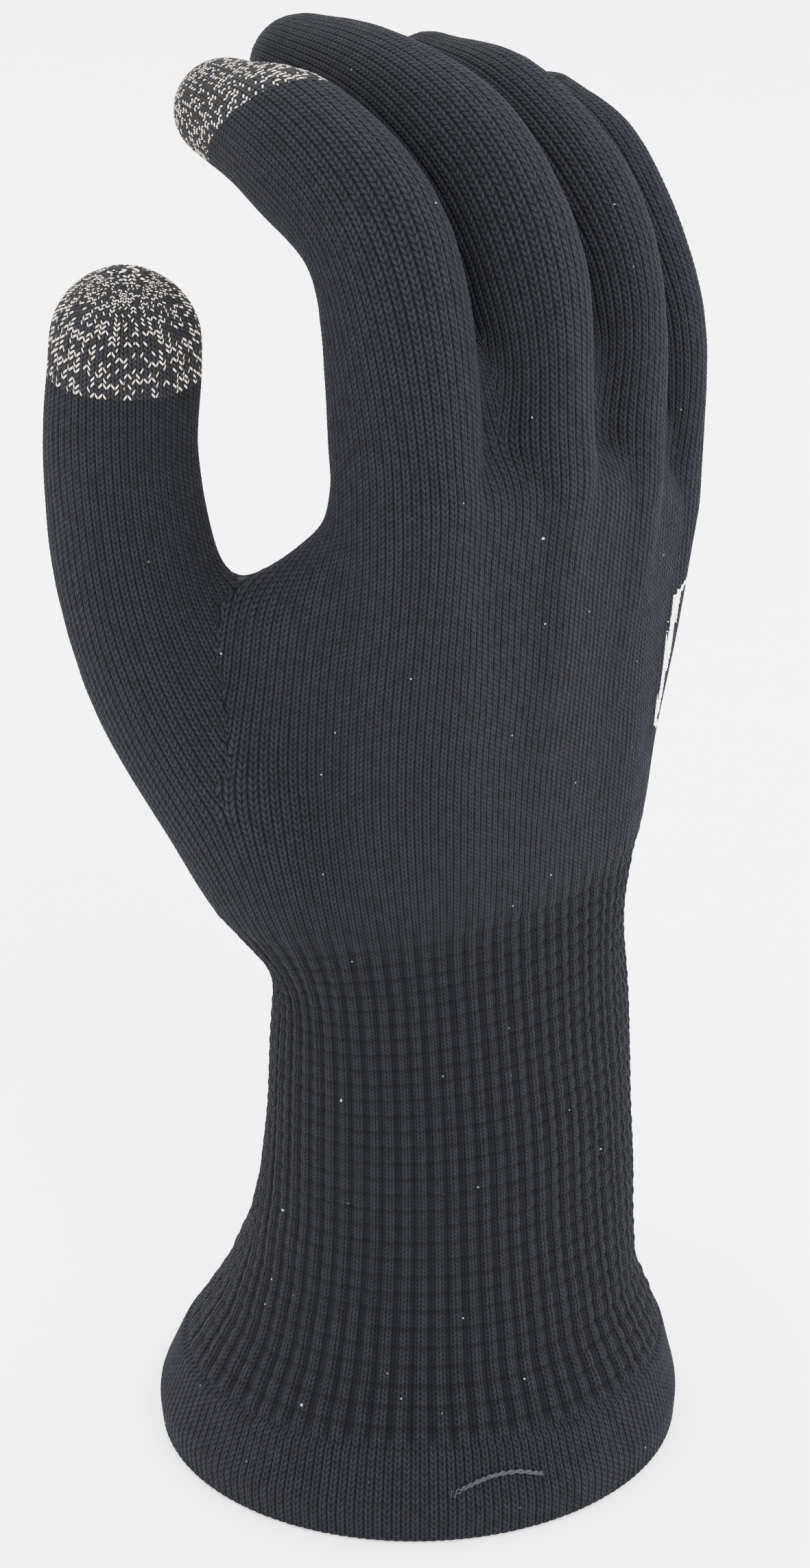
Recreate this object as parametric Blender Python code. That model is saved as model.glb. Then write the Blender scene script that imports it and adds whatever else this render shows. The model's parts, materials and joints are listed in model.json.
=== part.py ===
"""A knitted touchscreen glove for the right hand, standing on its cuff with the fingers curled.

Row frame: metres, +Z from the cuff mouth towards the fingertips. The back of the hand faces -Y,
the palm +Y and the thumb side -X. Skeleton dimensions below are in millimetres.
The knit is modelled as hollow stalls (rigid between joints) and soft rings (across each joint).
"""
import math

import bmesh
import bpy
import numpy as np
from mathutils import Vector

# ---- driving dimensions, millimetres -------------------------------------------------------
ORIGIN = (-9.396, 3.75)         # where the box centre falls in the drawing frame of this skeleton
WALL = 2.2                    # thickness of the single knit
GAP = 0.3                     # clearance between neighbouring pieces
BRIM_GAP = 1.2                # clearance along the sloping edges of the hand
SIDES = 16                    # corners of a finger ring
CUFF_SIDES = 36
# finger: knuckle, middle joint, end joint, centre of the tip dome
INDEX = ((-29.0, -19.0, 181.0), (-29.0, -13.5, 216.0), (-28.5, 5.0, 229.5), (-28.0, 21.5, 233.0))
MIDDLE = ((-6.5, -20.5, 180.0), (-6.5, -17.0, 216.0), (-6.5, 4.5, 232.0), (-6.5, 27.0, 235.5))
RING = ((15.5, -17.0, 174.0), (15.5, -14.5, 208.5), (15.5, 2.5, 226.0), (15.5, 20.5, 231.0))
LITTLE = ((35.2, -8.5, 163.0), (35.2, -9.0, 195.0), (35.2, 1.0, 215.5), (35.2, 13.0, 223.5))
# thumb: root in the heel of the palm, knuckle, end joint, centre of the tip dome
THUMB = ((-28.0, 6.0, 109.0), (-46.0, 18.5, 149.0), (-51.0, 22.0, 178.5), (-52.0, 19.5, 201.0))
# half width across the hand, half depth, at each of the four points
INDEX_R = ((10.6, 12.8), (10.5, 12.6), (9.9, 11.0), (8.4, 8.4))
MIDDLE_R = ((10.6, 12.8), (10.4, 12.5), (9.8, 11.0), (8.5, 8.5))
RING_R = ((10.4, 12.4), (10.2, 11.9), (9.6, 10.6), (8.2, 8.2))
LITTLE_R = ((9.0, 11.4), (8.9, 10.6), (8.5, 9.2), (7.3, 7.3))
THUMB_R = ((17.5, 17.5), (14.8, 14.8), (12.2, 12.2), (11.8, 11.8))
KNUCKLE_SAG = 10.0            # the soft band of the knuckles starts this far below them
KNUCKLE_BAND = 19.0           # height of that band
CROTCH = (197.5, 198.0, 193.0, 181.0)   # where each finger leaves the hand
MID_ZONE = (6.0, 9.0)         # soft length before and after a finger's middle joint
THUMB_FREE = 11.5             # the free part of the thumb starts this far past its knuckle
THUMB_ZONE = (5.0, 5.5)       # soft length before and after the thumb's first bend
THUMB_END_ZONE = (6.0, 7.0)   # the same at its end joint
THUMB_FOOT = 39.0             # where the thumb's sleeve leaves the palm, past its root
BADGE_Z = (126.0, 151.0)      # lower and upper edge of the printed plate
BADGE_TURNS = (-60.0, -46.0, -32.0, -18.0, -4.0)   # degrees round the hand, 0 at the little finger's side
BADGE_LIFT = 0.6              # from the knit to the plate's back
BADGE_THICK = 0.6
THUMB_TOUCH = 17.5            # the touch yarn starts this far past the thumb's end joint
END_ZONE = (6.0, 6.0)
WRIST_Z = 91.0                # height of the wrist's bending axis
CUFF_TOP = 78.0
PALM_FOOT = 104.0
WELT_TOP = 16.0
WELT_WALL = 1.7               # each of the two layers of the turned hem
# cuff profile: height, centre x, centre y, half width x, half depth y
CUFF = ((0.0, -3.7, 3.7, 45.0, 44.2), (6.0, -3.75, 3.75, 45.6, 44.6), (16.0, -3.2, 3.2, 42.4, 40.8),
        (27.0, -2.3, 2.3, 37.6, 34.2), (39.0, -1.0, 1.0, 35.5, 30.6), (50.0, -0.2, 0.2, 35.0, 28.4),
        (64.0, 0.1, -0.1, 35.0, 27.0), (78.0, 0.2, -0.2, 34.6, 25.6))
WRIST_RING = ((78.0, 0.2, -0.2, 34.6, 25.6), (91.0, 0.1, -0.3, 34.2, 24.4), (104.0, 0.0, -0.6, 34.0, 23.4))
# the hand's four columns at the heel of the palm: centre x, centre y, half width, half depth
HEEL = ((-11.0, 0.0, 23.0, 23.0), (-4.0, -0.8, 23.0, 23.0), (4.0, -1.0, 23.0, 23.0), (11.0, -1.0, 23.0, 23.0))
KNIT = (0.028, 0.030, 0.040)
RIB = (0.026, 0.028, 0.037)
WELT = (0.030, 0.032, 0.042)
TOUCH = (0.20, 0.19, 0.18)
PRINT = (0.86, 0.86, 0.84)
THREAD = (0.22, 0.22, 0.24)


def clear_scene():
    for obj in list(bpy.data.objects):
        bpy.data.objects.remove(obj, do_unlink=True)


def shade(name, color, rough):
    """A plain surface of one colour."""
    mat = bpy.data.materials.new(name)
    mat.use_nodes = True
    node = mat.node_tree.nodes["Principled BSDF"]
    node.inputs["Base Color"].default_value = (color[0], color[1], color[2], 1.0)
    node.inputs["Roughness"].default_value = rough
    node.inputs["Metallic"].default_value = 0.0
    return mat


def knit_shade(name):
    return shade(name, KNIT, 0.95)


def rib_shade(name):
    return shade(name, RIB, 0.95)


def welt_shade(name):
    return shade(name, WELT, 0.95)


def touch_shade(name):
    return shade(name, TOUCH, 0.85)


def print_shade(name):
    return shade(name, PRINT, 0.6)


def thread_shade(name):
    return shade(name, THREAD, 0.9)


def place(p):
    """Drawing millimetres to row-frame metres."""
    return Vector(((p[0] - ORIGIN[0]) * 0.001, (p[1] - ORIGIN[1]) * 0.001, p[2] * 0.001))


def finish_node(name, bm, pivot, mat):
    """One object whose origin is the joint it turns on."""
    bmesh.ops.remove_doubles(bm, verts=bm.verts, dist=1e-6)
    bmesh.ops.recalc_face_normals(bm, faces=bm.faces)
    home = place(pivot)
    for v in bm.verts:
        v.co = place(v.co) - home
    if bm.calc_volume(signed=True) < 0.0:
        bmesh.ops.reverse_faces(bm, faces=bm.faces)
    mesh = bpy.data.meshes.new(name)
    bm.to_mesh(mesh)
    bm.free()
    mesh.materials.append(mat)
    obj = bpy.data.objects.new(name, mesh)
    obj.location = home
    bpy.context.scene.collection.objects.link(obj)
    return obj


def unit(v):
    v = np.asarray(v, float)
    return v / np.linalg.norm(v)


def ellipse_ring(center, along, across, half, depth, sides):
    """Points of an ellipse square to `along`, its width lying along `across`."""
    along = unit(along)
    side = unit(np.asarray(across) - along * np.dot(across, along))
    other = np.cross(along, side)
    out = []
    for i in range(sides):
        t = 2.0 * math.pi * i / sides
        out.append(np.asarray(center) + side * half * math.cos(t) + other * depth * math.sin(t))
    return out


def skin(bm, rings, flip):
    """Quads between successive rings of equal count."""
    rows = [[bm.verts.new(Vector(p)) for p in ring] for ring in rings]
    n = len(rows[0])
    for low, high in zip(rows[:-1], rows[1:]):
        for i in range(n):
            j = (i + 1) % n
            quad = (low[i], low[j], high[j], high[i])
            bm.faces.new(quad[::-1] if flip else quad)
    return rows


def tube(outer, inner):
    """A hollow sleeve, open at both ends, from matching outer and inner rings."""
    bm = bmesh.new()
    out_rows = skin(bm, outer, False)
    in_rows = skin(bm, inner, True)
    n = len(outer[0])
    for k, flip in ((0, True), (-1, False)):
        for i in range(n):
            j = (i + 1) % n
            quad = (out_rows[k][i], out_rows[k][j], in_rows[k][j], in_rows[k][i])
            bm.faces.new(quad[::-1] if flip else quad)
    return bm


def thimble(outer, inner, outer_pole, inner_pole):
    """A sleeve closed by a dome at its far end."""
    bm = bmesh.new()
    out_rows = skin(bm, outer, False)
    in_rows = skin(bm, inner, True)
    n = len(outer[0])
    tip = bm.verts.new(Vector(outer_pole))
    hollow = bm.verts.new(Vector(inner_pole))
    for i in range(n):
        j = (i + 1) % n
        bm.faces.new((out_rows[0][j], out_rows[0][i], in_rows[0][i], in_rows[0][j]))
        bm.faces.new((out_rows[-1][i], out_rows[-1][j], tip))
        bm.faces.new((in_rows[-1][j], in_rows[-1][i], hollow))
    return bm


def lerp(a, b, t):
    return np.asarray(a, float) * (1.0 - t) + np.asarray(b, float) * t


def bone(chain, radii, k):
    """Start, end, direction, length and end radii of a finger's k-th length."""
    a = np.asarray(chain[k], float)
    b = np.asarray(chain[k + 1], float)
    return a, b, unit(b - a), float(np.linalg.norm(b - a)), radii[k], radii[k + 1]


def station(chain, radii, k, s, across, thin):
    """Ring at s millimetres along the k-th length, `thin` inside the outer skin."""
    a, b, d, length, ra, rb = bone(chain, radii, k)
    t = s / length
    half, depth = lerp(ra, rb, t)
    return ellipse_ring(a + d * s, d, across, half - thin, depth - thin, SIDES)


def stall(name, chain, radii, k, start, stop, across, mat):
    """Rigid sleeve between two joints."""
    outer = [station(chain, radii, k, s, across, 0.0) for s in (start, stop)]
    inner = [station(chain, radii, k, s, across, WALL) for s in (start, stop)]
    return finish_node(name, tube(outer, inner), chain[k], mat)


def joint_ring(chain, radii, k, across, thin):
    """Ring on the bisecting plane of joint k, widened to keep the sleeve's depth."""
    before = unit(np.subtract(chain[k], chain[k - 1]))
    after = unit(np.subtract(chain[k + 1], chain[k]))
    stretch = 1.0 / max(0.5, math.sqrt(0.5 + 0.5 * float(np.dot(before, after))))
    half, depth = radii[k]
    return ellipse_ring(chain[k], before + after, across, half - thin, (depth - thin) * stretch, SIDES)


def soft_joint(name, chain, radii, k, before, after, across, mat):
    """Bending sleeve across joint k."""
    rings = []
    for thin in (0.0, WALL):
        low = station(chain, radii, k - 1, bone(chain, radii, k - 1)[3] - before, across, thin)
        high = station(chain, radii, k, after, across, thin)
        rings.append([low, joint_ring(chain, radii, k, across, thin), high])
    return finish_node(name, tube(rings[0], rings[1]), chain[k], mat)


def tip_rings(chain, radii, start, across, thin):
    """Rings of the last length and its dome, and the dome's pole."""
    a, b, d, length, ra, rb = bone(chain, radii, 2)
    rings = [station(chain, radii, 2, start, across, thin), station(chain, radii, 2, length, across, thin)]
    top = rb[0] - thin
    for step in (1, 2, 3):
        lift = math.radians(24.0 * step)
        rings.append(ellipse_ring(b + d * top * math.sin(lift), d, across, top * math.cos(lift),
                                  top * math.cos(lift), SIDES))
    return rings, b + d * top


def tip(name, chain, radii, start, across, mat):
    """Closed fingertip."""
    outer, outer_pole = tip_rings(chain, radii, start, across, 0.0)
    inner, inner_pole = tip_rings(chain, radii, start, across, WALL)
    return finish_node(name, thimble(outer, inner, outer_pole, inner_pole), chain[2], mat)


# ---- hand ------------------------------------------------------------------------------------
FINGERS = ((INDEX, INDEX_R), (MIDDLE, MIDDLE_R), (RING, RING_R), (LITTLE, LITTLE_R))


def across_hand(x, heights):
    """A height that runs straight from finger to finger across the hand."""
    return float(np.interp(x, [chain[0][0] for chain, _ in FINGERS], heights))


def brim(x):
    """Height where the palm ends and the soft band of the knuckles begins."""
    return across_hand(x, [chain[0][2] - KNUCKLE_SAG for chain, _ in FINGERS])


def crotch(x):
    """Height where the hand ends and the finger stalls begin."""
    return across_hand(x, CROTCH)


def hull_section(t, thin):
    """Outline of the four columns' convex section; t = 0 at the heel and 1 at the brim."""
    cols = []
    for heel, (chain, radii) in zip(HEEL, FINGERS):
        top = (chain[0][0], chain[0][1], radii[0][0], radii[0][1])
        ease = t ** 0.85
        cols.append(lerp(heel, top, ease))
    pts = []
    for i in range(720):
        ang = 2.0 * math.pi * i / 720
        nx, ny = math.cos(ang), math.sin(ang)
        best = None
        for cx, cy, a, b in cols:
            a2, b2 = a - thin, b - thin
            reach = math.sqrt((a2 * nx) ** 2 + (b2 * ny) ** 2)
            score = cx * nx + cy * ny + reach
            if best is None or score > best[0]:
                best = (score, cx + a2 * a2 * nx / reach, cy + b2 * b2 * ny / reach)
        pts.append((best[1], best[2]))
    return np.array(pts)


def even_ring(outline, sides):
    """The outline resampled to evenly spaced corners, starting on the +X side."""
    closed = np.vstack([outline, outline[:1]])
    step = np.linalg.norm(np.diff(closed, axis=0), axis=1)
    run = np.concatenate([[0.0], np.cumsum(step)])
    want = np.linspace(0.0, run[-1], sides, endpoint=False)
    return np.c_[np.interp(want, run, closed[:, 0]), np.interp(want, run, closed[:, 1])]


def palm_rings(thin, run_on):
    """Rings up the palm; the last follows the sloping brim, and run_on carries both ends straight on."""
    rings = []
    for t in (0.0, 0.25, 0.5, 0.75, 1.0):
        flat = even_ring(hull_section(t, thin), CUFF_SIDES)
        rings.append([np.array((x, y, PALM_FOOT + (brim(x) - PALM_FOOT) * t)) for x, y in flat])
    if run_on > 0.0:
        drop = np.array((0.0, 0.0, run_on))
        rings.insert(0, [p - drop for p in rings[0]])
        rings.append([p + drop for p in rings[-1]])
    return rings


def solid_of(rings):
    """A capped solid from rings."""
    bm = bmesh.new()
    rows = skin(bm, rings, False)
    for row, flip in ((rows[0], True), (rows[-1], False)):
        mid = bm.verts.new(sum((v.co for v in row), Vector()) / len(row))
        for i in range(len(row)):
            j = (i + 1) % len(row)
            tri = (row[i], row[j], mid)
            bm.faces.new(tri[::-1] if flip else tri)
    return bm


def cut(bm, tools):
    """The body less each tool, by exact booleans."""
    made = []
    for part in [bm] + tools:
        bmesh.ops.recalc_face_normals(part, faces=part.faces)
        mesh = bpy.data.meshes.new("work")
        part.to_mesh(mesh)
        part.free()
        obj = bpy.data.objects.new("work", mesh)
        bpy.context.scene.collection.objects.link(obj)
        made.append(obj)
    for obj in made[1:]:
        obj.hide_render = True
        obj.display_type = 'WIRE'
        mod = made[0].modifiers.new("cut", 'BOOLEAN')
        mod.operation = 'DIFFERENCE'
        mod.solver = 'EXACT'
        mod.object = obj
    graph = bpy.context.evaluated_depsgraph_get()
    result = bmesh.new()
    result.from_mesh(made[0].evaluated_get(graph).to_mesh())
    made[0].evaluated_get(graph).to_mesh_clear()
    for obj in made:
        mesh = obj.data
        bpy.data.objects.remove(obj, do_unlink=True)
        bpy.data.meshes.remove(mesh)
    bmesh.ops.dissolve_degenerate(result, dist=1e-4, edges=result.edges)
    bmesh.ops.triangulate(result, faces=result.faces)
    return result


def thumb_core(thin, start, stop):
    """Solid along the thumb's first length."""
    rings = [station(THUMB, THUMB_R, 0, s, (1.0, 0.0, 0.0), thin + 1.0) for s in (start, stop)]
    return solid_of(rings)


def palm_shell(mat):
    """The hand bag, open at the wrist, at the knuckles and at the thumb."""
    bm = tube(palm_rings(0.0, 0.0), palm_rings(WALL, 0.0))
    hole = thumb_core(WALL, 9.0, 46.0)
    return finish_node("palm_shell", cut(bm, [hole]), (0.0, 0.0, WRIST_Z), mat)


def thumb_web(mat):
    """Soft gusset from the palm to the thumb's base; it starts on the palm's own surface."""
    root, _, along, _, _, _ = bone(THUMB, THUMB_R, 0)
    outer, inner = [], []
    for s, r in ((-13.0, 10.0), (-4.0, 14.0), (6.0, 16.6), (16.0, 16.6), (26.0, 16.0)):
        outer.append(ellipse_ring(root + along * s, along, (1.0, 0.0, 0.0), r, r, SIDES))
        inner.append(ellipse_ring(root + along * s, along, (1.0, 0.0, 0.0), r - WALL, r - WALL, SIDES))
    outer.append(station(THUMB, THUMB_R, 0, 39.0 - GAP, (1.0, 0.0, 0.0), 0.0))
    inner.append(station(THUMB, THUMB_R, 0, 39.0 - GAP, (1.0, 0.0, 0.0), WALL))
    block = solid_of(palm_rings(-2.0 * GAP, 24.0))
    return finish_node("thumb_web", cut(tube(outer, inner), [block]), THUMB[0], mat)


def band(name, low, high, mat):
    """A sleeve of the hand's upper section, between two sloping heights."""
    rings = []
    for thin in (0.0, WALL):
        flat = even_ring(hull_section(1.0, thin), CUFF_SIDES)
        rings.append([[np.array((x, y, low(x))) for x, y in flat], [np.array((x, y, high(x))) for x, y in flat]])
    pivot = lerp(INDEX[0], LITTLE[0], 0.5)
    return finish_node(name, tube(rings[0], rings[1]), pivot, mat)


def knuckles():
    """Soft band across the knuckles, and the rigid band above it that carries the fingers."""
    band("knuckle_ring", lambda x: brim(x) + BRIM_GAP, lambda x: brim(x) + KNUCKLE_BAND - BRIM_GAP,
         knit_shade("knuckle_ring"))
    band("knuckle_shell", lambda x: brim(x) + KNUCKLE_BAND, crotch, knit_shade("knuckle_shell"))


def finger_foot(name, chain, radii, stop, mat):
    """First stall of a finger, its foot following the edge of the hand."""
    rings = []
    for thin in (0.0, WALL):
        half, depth = radii[0]
        low = []
        for p in ellipse_ring(chain[0], (0.0, 0.0, 1.0), (1.0, 0.0, 0.0), half - thin, depth - thin, SIDES):
            low.append(np.array((p[0], p[1], crotch(p[0]) + BRIM_GAP)))
        rings.append([low, station(chain, radii, 0, stop, (1.0, 0.0, 0.0), thin)])
    return finish_node(name, tube(rings[0], rings[1]), chain[0], mat)


# ---- cuff ------------------------------------------------------------------------------------
def cuff_ring(z, thin):
    """Elliptical ring of the cuff at height z."""
    rows = np.array(CUFF)
    cx, cy, a, b = [float(np.interp(z, rows[:, 0], rows[:, k])) for k in (1, 2, 3, 4)]
    return ellipse_ring((cx, cy, z), (0.0, 0.0, 1.0), (1.0, 0.0, 0.0), a - thin, b - thin, CUFF_SIDES)


def cuff_tube(name, heights, thin, wall, mat):
    outer = [cuff_ring(z, thin) for z in heights]
    inner = [cuff_ring(z, thin + wall) for z in heights]
    return finish_node(name, tube(outer, inner), (0.0, 0.0, 0.0), mat)


def wrist_ring(mat):
    """Soft ribbed ring across the wrist."""
    rings = []
    for thin in (0.0, WALL):
        col = []
        for z, cx, cy, a, b in WRIST_RING:
            lift = GAP if z == CUFF_TOP else (-GAP if z == PALM_FOOT else 0.0)
            col.append(ellipse_ring((cx, cy, z + lift), (0.0, 0.0, 1.0), (1.0, 0.0, 0.0), a - thin,
                                    b - thin, CUFF_SIDES))
        rings.append(col)
    return finish_node("wrist_rib", tube(rings[0], rings[1]), (0.0, 0.0, WRIST_Z), mat)


def badge(mat):
    """Plain printed plate on the little-finger edge of the hand, following its curve."""
    low, high = BADGE_Z
    rows = []
    for k in range(4):
        z = low + (high - low) * k / 3.0
        line = []
        for deg in BADGE_TURNS:
            n = np.array((math.cos(math.radians(deg)), math.sin(math.radians(deg))))
            t = (z - PALM_FOOT) / (brim(LITTLE[0][0]) - PALM_FOOT)
            pts = hull_section(t, 0.0)
            foot = pts[int(np.argmax(pts @ n))]
            line.append((np.array((foot[0], foot[1], z)), np.array((n[0], n[1], 0.0))))
        rows.append(line)
    bm = bmesh.new()
    back = [[bm.verts.new(Vector(p + n * BADGE_LIFT)) for p, n in line] for line in rows]
    front = [[bm.verts.new(Vector(p + n * (BADGE_LIFT + BADGE_THICK))) for p, n in line] for line in rows]
    for r in range(3):
        for c in range(4):
            bm.faces.new((front[r][c], front[r][c + 1], front[r + 1][c + 1], front[r + 1][c]))
            bm.faces.new((back[r + 1][c], back[r + 1][c + 1], back[r][c + 1], back[r][c]))
    for r in range(3):
        bm.faces.new((back[r][0], front[r][0], front[r + 1][0], back[r + 1][0]))
        bm.faces.new((front[r][4], back[r][4], back[r + 1][4], front[r + 1][4]))
    for c in range(4):
        bm.faces.new((back[0][c], back[0][c + 1], front[0][c + 1], front[0][c]))
        bm.faces.new((front[3][c], front[3][c + 1], back[3][c + 1], back[3][c]))
    return finish_node("print_badge", bm, (0.0, 0.0, WRIST_Z), mat)


def yarn_tail(mat):
    """Loose sewn-in end of yarn lying on the welt."""
    rings = []
    for k in range(9):
        t = k / 8.0
        ang = math.radians(-128.0 + 21.0 * t)
        z = 7.0 + 4.6 * math.sin(math.pi * (0.15 + 0.62 * t))
        rows = np.array(CUFF)
        cx, cy, a, b = [float(np.interp(z, rows[:, 0], rows[:, i])) for i in (1, 2, 3, 4)]
        off = 0.95
        c = np.array((cx + (a + off) * math.cos(ang), cy + (b + off) * math.sin(ang), z))
        rings.append(c)
    tube_rings = []
    for k, c in enumerate(rings):
        ahead = rings[min(k + 1, 8)] - rings[max(k - 1, 0)]
        tube_rings.append(ellipse_ring(c, ahead, (0.0, 0.0, 1.0), 0.4, 0.4, 8))
    return finish_node("yarn_tail", solid_of(tube_rings), (0.0, 0.0, 0.0), mat)


def finger(name, chain, radii, capped):
    """Foot, middle ring, stall, end ring and tip of one finger."""
    across = (1.0, 0.0, 0.0)
    first = bone(chain, radii, 0)[3]
    second = bone(chain, radii, 1)[3]
    finger_foot(name + "_lower", chain, radii, first - MID_ZONE[0] - GAP, knit_shade(name + "_lower"))
    soft_joint(name + "_bend", chain, radii, 1, MID_ZONE[0], MID_ZONE[1], across, knit_shade(name + "_bend"))
    stall(name + "_upper", chain, radii, 1, MID_ZONE[1] + GAP, second - END_ZONE[0] - GAP, across,
          knit_shade(name + "_upper"))
    soft_joint(name + "_endbend", chain, radii, 2, END_ZONE[0], END_ZONE[1], across,
               knit_shade(name + "_endbend"))
    if capped:
        stall(name + "_distal", chain, radii, 2, END_ZONE[1] + GAP, 10.0, across, knit_shade(name + "_distal"))
        tip(name + "_touch_cap", chain, radii, 10.0 + GAP, across, touch_shade(name + "_touch_cap"))
    else:
        tip(name + "_tip", chain, radii, END_ZONE[1] + GAP, across, knit_shade(name + "_tip"))


def thumb():
    """Base sleeve past the thumb's knuckle, first bend, stall, end bend, distal sleeve and touch cap."""
    across = (1.0, 0.0, 0.0)
    first = bone(THUMB, THUMB_R, 0)[3]
    second = bone(THUMB, THUMB_R, 1)[3]
    low, high = THUMB_FREE - THUMB_ZONE[0], THUMB_FREE + THUMB_ZONE[1]
    rings = []
    for thin in (0.0, WALL):
        foot = station(THUMB, THUMB_R, 0, THUMB_FOOT, across, thin)
        knee = station(THUMB, THUMB_R, 0, first, across, thin)
        rings.append([foot, knee, station(THUMB, THUMB_R, 1, low - GAP, across, thin)])
    finish_node("thumb_base", tube(rings[0], rings[1]), THUMB[0], knit_shade("thumb_base"))
    hinge = lerp(THUMB[1], THUMB[2], THUMB_FREE / second)
    rings = [[station(THUMB, THUMB_R, 1, s, across, thin) for s in (low, THUMB_FREE, high)] for thin in (0.0, WALL)]
    finish_node("thumb_bend", tube(rings[0], rings[1]), hinge, knit_shade("thumb_bend"))
    before, after = THUMB_END_ZONE
    stall("thumb_lower", THUMB, THUMB_R, 1, high + GAP, second - before - GAP, across, knit_shade("thumb_lower"))
    soft_joint("thumb_endbend", THUMB, THUMB_R, 2, before, after, across, knit_shade("thumb_endbend"))
    stall("thumb_distal", THUMB, THUMB_R, 2, after + GAP, THUMB_TOUCH, across, knit_shade("thumb_distal"))
    tip("thumb_touch_cap", THUMB, THUMB_R, THUMB_TOUCH + GAP, across, touch_shade("thumb_touch_cap"))


def build():
    clear_scene()
    cuff_tube("welt_outer", (0.0, 6.0, WELT_TOP), 0.0, WELT_WALL, welt_shade("welt_outer"))
    cuff_tube("welt_inner", (0.6, 6.0, WELT_TOP - 1.0), WELT_WALL + GAP, WELT_WALL, welt_shade("welt_inner"))
    cuff_tube("rib_cuff", (WELT_TOP + GAP, 27.0, 39.0, 50.0, 64.0, CUFF_TOP), 0.0, WALL, rib_shade("rib_cuff"))
    wrist_ring(rib_shade("wrist_rib"))
    palm_shell(knit_shade("palm_shell"))
    thumb_web(knit_shade("thumb_web"))
    knuckles()
    thumb()
    finger("index", INDEX, INDEX_R, True)
    finger("middle", MIDDLE, MIDDLE_R, False)
    finger("ring", RING, RING_R, False)
    finger("little", LITTLE, LITTLE_R, False)
    badge(print_shade("print_badge"))
    yarn_tail(thread_shade("yarn_tail"))


build()
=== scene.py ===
import heapq
import json
import math

import bmesh
import bpy
import numpy as np
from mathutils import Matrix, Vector

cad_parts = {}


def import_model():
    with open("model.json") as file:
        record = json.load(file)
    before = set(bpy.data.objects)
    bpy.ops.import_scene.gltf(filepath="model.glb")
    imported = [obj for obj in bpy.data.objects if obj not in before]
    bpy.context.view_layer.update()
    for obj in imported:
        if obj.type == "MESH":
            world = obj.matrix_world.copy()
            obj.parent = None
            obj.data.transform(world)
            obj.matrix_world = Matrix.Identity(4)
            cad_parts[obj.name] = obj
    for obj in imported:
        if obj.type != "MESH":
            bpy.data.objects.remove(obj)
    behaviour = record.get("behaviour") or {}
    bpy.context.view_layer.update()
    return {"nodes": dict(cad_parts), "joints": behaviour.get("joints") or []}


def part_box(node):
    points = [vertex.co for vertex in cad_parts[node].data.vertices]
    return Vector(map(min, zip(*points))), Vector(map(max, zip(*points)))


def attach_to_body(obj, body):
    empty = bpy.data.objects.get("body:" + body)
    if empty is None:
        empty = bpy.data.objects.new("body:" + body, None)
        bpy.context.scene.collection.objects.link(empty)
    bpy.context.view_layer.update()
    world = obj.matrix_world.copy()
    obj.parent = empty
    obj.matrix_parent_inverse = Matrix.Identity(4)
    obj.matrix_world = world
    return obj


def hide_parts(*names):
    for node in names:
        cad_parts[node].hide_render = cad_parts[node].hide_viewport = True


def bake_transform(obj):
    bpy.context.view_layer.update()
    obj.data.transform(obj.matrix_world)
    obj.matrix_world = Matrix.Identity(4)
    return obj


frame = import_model()
CUTS = 5  # each base triangle's side is cut into this many

# ---- sizes in millimetres, in the CAD's frame ----
VOXEL = 1.25  # grain of the base skin
HAND = ("index", "middle", "ring", "little")
KNUCKLE_SPAN = 67.5  # from the index knuckle to the little one
KNUCKLE_SHARE = (0.5, 0.15, -0.193, -0.5)
KNUCKLE_ARCH = ((0, 0, 0), (0, -5.2, 5.4), (0, -5.3, 5.5), (0, 0, 0))
TIP_NODE = {"index": "index_touch_cap", "middle": "middle_tip", "ring": "ring_tip", "little": "little_tip",
            "thumb": "thumb_touch_cap"}
# half width across and half depth at the knuckle, middle joint, end joint and tip
GIRTH = {"index": ((10.3, 12.6), (10.0, 12.4), (9.7, 10.9), (8.2, 8.2)),
         "middle": ((10.3, 12.6), (10.0, 12.3), (9.6, 10.9), (8.3, 8.3)),
         "ring": ((10.2, 12.2), (9.9, 11.8), (9.4, 10.5), (8.0, 8.0)),
         "little": ((9.0, 11.3), (8.8, 10.5), (8.4, 9.1), (7.2, 7.2)),
         "thumb": ((17.0, 17.0), (13.9, 14.0), (12.0, 12.0), (11.6, 11.6))}
HEEL_Z = 104.0
# x, y and half width of the heel of the hand below each finger
HEEL = ((-1.6, -3.7, 22.8), (5.4, -4.5, 22.8), (13.4, -4.7, 22.8), (20.4, -4.7, 22.8))
CUFF_FOOT = -8.0  # the cuff's volume runs down to here, and is cut off at the hem
LEVEL_REACH = 0.15  # CAD points this near a height belong to its ring,
LEVEL_POINTS = 30  # and a real ring has at least this many
RING_POINTS = 144
BALL_POINTS = 260
THUMB_ROOT = (-18.0, 2.2, 109.0)
THUMB_KNUCKLE_BACK = 11.5  # the thumb's knuckle lies this far before its first free bend
WEB_TOP = (195.5, 195.0, 176.5)  # height of the webs' upper spheres between neighbouring fingers
WEB_RADIUS = 8.0
WEB_DROP = 8.0  # the webs' lower spheres lie this far below the knuckles
COLUMN_DROP = 3.0  # the same for the palm between the fingers,
COLUMN_THIN = 1.3  # which is this much thinner than the fingers
WEB_THICK = 7.5  # radius of the thumb web's edge
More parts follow.
